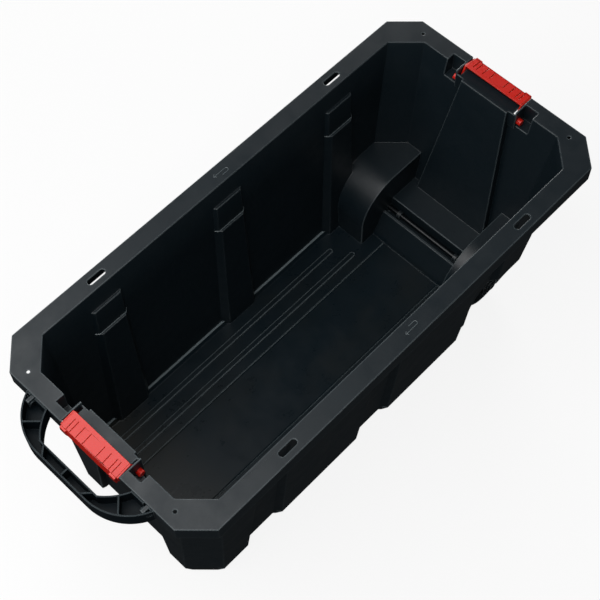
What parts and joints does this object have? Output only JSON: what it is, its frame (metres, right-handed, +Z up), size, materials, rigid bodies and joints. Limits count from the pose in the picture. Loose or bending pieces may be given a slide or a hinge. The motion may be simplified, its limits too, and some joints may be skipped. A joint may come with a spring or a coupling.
{
  "type": "wheeled tool storage tote",
  "caption": "Large open wheeled tool tote: moulded tub with flanged rim, stepped walls, red end latches, a fixed tow loop at one end and wheels on an axle in wells at the other.",
  "frame": {"origin": "on the ground, below the middle of the rim", "axes": "+X along the tub from the tow loop to the wheels, +Y across the tub, +Z up"},
  "size_m": [1.1655, 0.523, 0.453],
  "materials": {
    "tub_plastic": "fine moulded satin",
    "loop_plastic": "fine moulded satin",
    "latch_plastic": "smooth moulded satin",
    "wheel_plastic": "fine moulded satin",
    "collar_plastic": "smooth moulded",
    "axle_paint": "satin black",
    "zinc_steel": "zinc plated"
  },
  "bodies": {
    "tub_body": {"tub": "tub_plastic", "tow_loop": "loop_plastic", "loop_pin_left": "loop_plastic", "loop_pin_right": "loop_plastic", "axle": "axle_paint", "axle_collar_left": "collar_plastic", "axle_collar_right": "collar_plastic", "axle_washers_left": "zinc_steel", "axle_washers_right": "zinc_steel", "axle_cap_left": "collar_plastic", "axle_cap_right": "collar_plastic"},
    "front_latch_body": {"latch_front": "latch_plastic"},
    "rear_latch_body": {"latch_rear": "latch_plastic"},
    "left_wheel_body": {"wheel_left": "wheel_plastic"},
    "right_wheel_body": {"wheel_right": "wheel_plastic"}
  },
  "joints": [
    {"name": "front_latch_hinge", "type": "hinge", "parent": "tub_body", "child": "front_latch_body", "pos_m": [-0.508, 0, 0.416], "axis": [0, -1, 0], "range_deg": [0, 95]},
    {"name": "rear_latch_hinge", "type": "hinge", "parent": "tub_body", "child": "rear_latch_body", "pos_m": [0.508, 0, 0.416], "axis": [0, 1, 0], "range_deg": [0, 95]},
    {"name": "left_wheel_spin", "type": "hinge", "parent": "tub_body", "child": "left_wheel_body", "pos_m": [0.366, 0, 0.065], "axis": [0, 1, 0], "continuous": true},
    {"name": "right_wheel_spin", "type": "hinge", "parent": "tub_body", "child": "right_wheel_body", "pos_m": [0.366, 0, 0.065], "axis": [0, 1, 0], "continuous": true}
  ]
}
